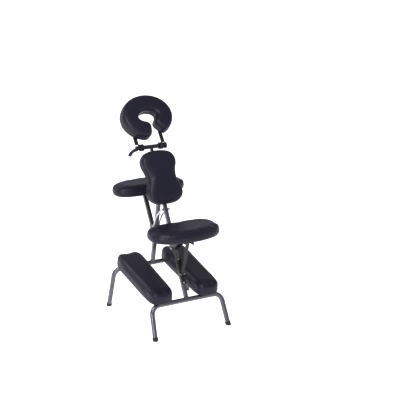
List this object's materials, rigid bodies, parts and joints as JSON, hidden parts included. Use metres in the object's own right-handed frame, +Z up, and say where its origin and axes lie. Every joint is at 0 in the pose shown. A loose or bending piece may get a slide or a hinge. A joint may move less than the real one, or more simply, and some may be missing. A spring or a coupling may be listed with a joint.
{
  "type": "kneeling massage chair",
  "caption": "Folding kneeling massage chair: leaning steel column on bent tube legs with a seat, knee pads, chest pad, armrest and a tilting horseshoe face cradle.",
  "frame": {"origin": "on the floor, at the centre of the chair's width and depth as it stands open", "axes": "+Z up, +Y forward (the way the sitter faces, towards the armrest), +X to the sitter's right"},
  "size_m": [0.5588, 0.7181, 1.2514],
  "materials": {
    "painted_frame": "satin gunmetal powder coat",
    "black_steel": "satin black paint",
    "rack_steel": "black paint",
    "zinc": "zinc plated",
    "rubber": "matte",
    "plastic": "fine textured black",
    "plywood": "bare birch plywood",
    "upholstery": "satin black synthetic leather with a cool tone"
  },
  "bodies": {
    "column": {"rear_leg_frame": "painted_frame", "main_column": "painted_frame", "rear_foot_left": "rubber", "rear_foot_right": "rubber", "column_collar": "plastic", "fold_hinge_ears": "painted_frame", "seat_rack": "rack_steel", "rack_screws": "zinc", "link_top_bolt": "zinc", "seat_hinge_bolt": "zinc"},
    "front_frame": {"front_leg_frame": "painted_frame", "front_strut": "painted_frame", "front_foot_left": "rubber", "front_foot_right": "rubber", "fold_hinge_bolt": "zinc", "arm_pivot_bolt": "zinc"},
    "arm": {"arm_fork": "black_steel", "arm_strut": "black_steel", "armrest_hinge_bolt": "zinc"},
    "armrest": {"armrest_bracket": "black_steel", "armrest_board": "plywood", "armrest_pad": "upholstery", "armrest_screws": "zinc"},
    "links": {"stay_link_left": "zinc", "stay_link_right": "zinc", "link_foot_bolts": "zinc"},
    "chest": {"chest_sleeve": "black_steel", "chest_plate": "black_steel", "chest_board": "plywood", "chest_pad": "upholstery", "chest_screws": "zinc"},
    "chest_knob": {"chest_knob": "plastic"},
    "cradle_stem": {"cradle_stem": "black_steel", "cradle_bar": "black_steel", "bar_rosettes": "plastic", "cradle_rod": "zinc"},
    "stem_knob": {"stem_knob": "plastic"},
    "face_cradle": {"arm_rosettes": "plastic", "cradle_arm_left": "plastic", "cradle_arm_right": "plastic", "cradle_board": "plywood", "face_cushion": "upholstery", "cradle_screws": "zinc"},
    "clamp_lever": {"clamp_lever": "plastic"},
    "end_knob": {"cradle_end_knob": "plastic"},
    "seat": {"seat_bracket": "black_steel", "seat_board": "plywood", "seat_pad": "upholstery", "seat_screws": "zinc", "seat_bumpers": "rubber"},
    "seat_prop": {"seat_prop": "black_steel", "prop_pins": "zinc"},
    "knee_left": {"knee_board_left": "plywood", "knee_pad_left": "upholstery", "knee_clamp_left": "plastic", "knee_screws_left": "zinc"},
    "knee_right": {"knee_board_right": "plywood", "knee_pad_right": "upholstery", "knee_clamp_right": "plastic", "knee_screws_right": "zinc"}
  },
  "joints": [
    {"name": "fold", "type": "hinge", "parent": "column", "child": "front_frame", "pos_m": [0, 0.07297, 0.70995], "axis": [-1, 0, 0], "range_deg": [0, 42]},
    {"name": "arm_fold", "type": "hinge", "parent": "front_frame", "child": "arm", "pos_m": [0, 0.14032, 0.42994], "axis": [-1, 0, 0], "range_deg": [0, 70]},
    {"name": "link_fold", "type": "hinge", "parent": "column", "child": "links", "pos_m": [0, -0.0055, 0.63458], "axis": [-1, 0, 0], "range_deg": [0, 40]},
    {"name": "knee_left_fold", "type": "hinge", "parent": "front_frame", "child": "knee_left", "pos_m": [0, 0.18311, 0.252], "axis": [1, 0, 0], "range_deg": [0, 38]},
    {"name": "knee_right_fold", "type": "hinge", "parent": "front_frame", "child": "knee_right", "pos_m": [0, 0.18311, 0.252], "axis": [1, 0, 0], "range_deg": [0, 38]},
    {"name": "armrest_tilt", "type": "hinge", "parent": "arm", "child": "armrest", "pos_m": [0, 0.28244, 0.66186], "axis": [1, 0, 0], "range_deg": [-8, 12]},
    {"name": "chest_slide", "type": "slide", "parent": "column", "child": "chest", "axis": [0, 0.4856, 0.8742], "range_m": [-0.02, 0.03]},
    {"name": "chest_knob_turn", "type": "hinge", "parent": "chest", "child": "chest_knob", "pos_m": [0, 0.09792, 0.82078], "axis": [0, 0.8742, -0.4856], "continuous": true},
    {"name": "stem_slide", "type": "slide", "parent": "column", "child": "cradle_stem", "axis": [0, 0.4856, 0.8742], "range_m": [-0.01, 0.08]},
    {"name": "stem_knob_turn", "type": "hinge", "parent": "column", "child": "stem_knob", "pos_m": [0, 0.14308, 0.90208], "axis": [0, 0.8742, -0.4856], "continuous": true},
    {"name": "cradle_tilt", "type": "hinge", "parent": "cradle_stem", "child": "face_cradle", "pos_m": [0, 0.17901, 0.96677], "axis": [1, 0, 0], "range_deg": [-30, 30]},
    {"name": "clamp_lever_swing", "type": "hinge", "parent": "cradle_stem", "child": "clamp_lever", "pos_m": [0, 0.17901, 0.96677], "axis": [1, 0, 0], "range_deg": [0, 100]},
    {"name": "end_knob_turn", "type": "hinge", "parent": "cradle_stem", "child": "end_knob", "pos_m": [0, 0.17901, 0.96677], "axis": [1, 0, 0], "continuous": true},
    {"name": "seat_lift", "type": "hinge", "parent": "column", "child": "seat", "pos_m": [0, -0.11621, 0.43526], "axis": [-1, 0, 0], "range_deg": [0, 18]},
    {"name": "prop_swing", "type": "hinge", "parent": "seat", "child": "seat_prop", "pos_m": [0, -0.28189, 0.524], "axis": [-1, 0, 0], "range_deg": [0, 35]}
  ],
  "couplings": [
    {"joint": "arm_fold", "follows": "fold", "ratio": 1.645},
    {"joint": "link_fold", "follows": "fold", "ratio": 0.932},
    {"joint": "knee_left_fold", "follows": "fold", "ratio": 0.9},
    {"joint": "knee_right_fold", "follows": "fold", "ratio": 0.9}
  ]
}
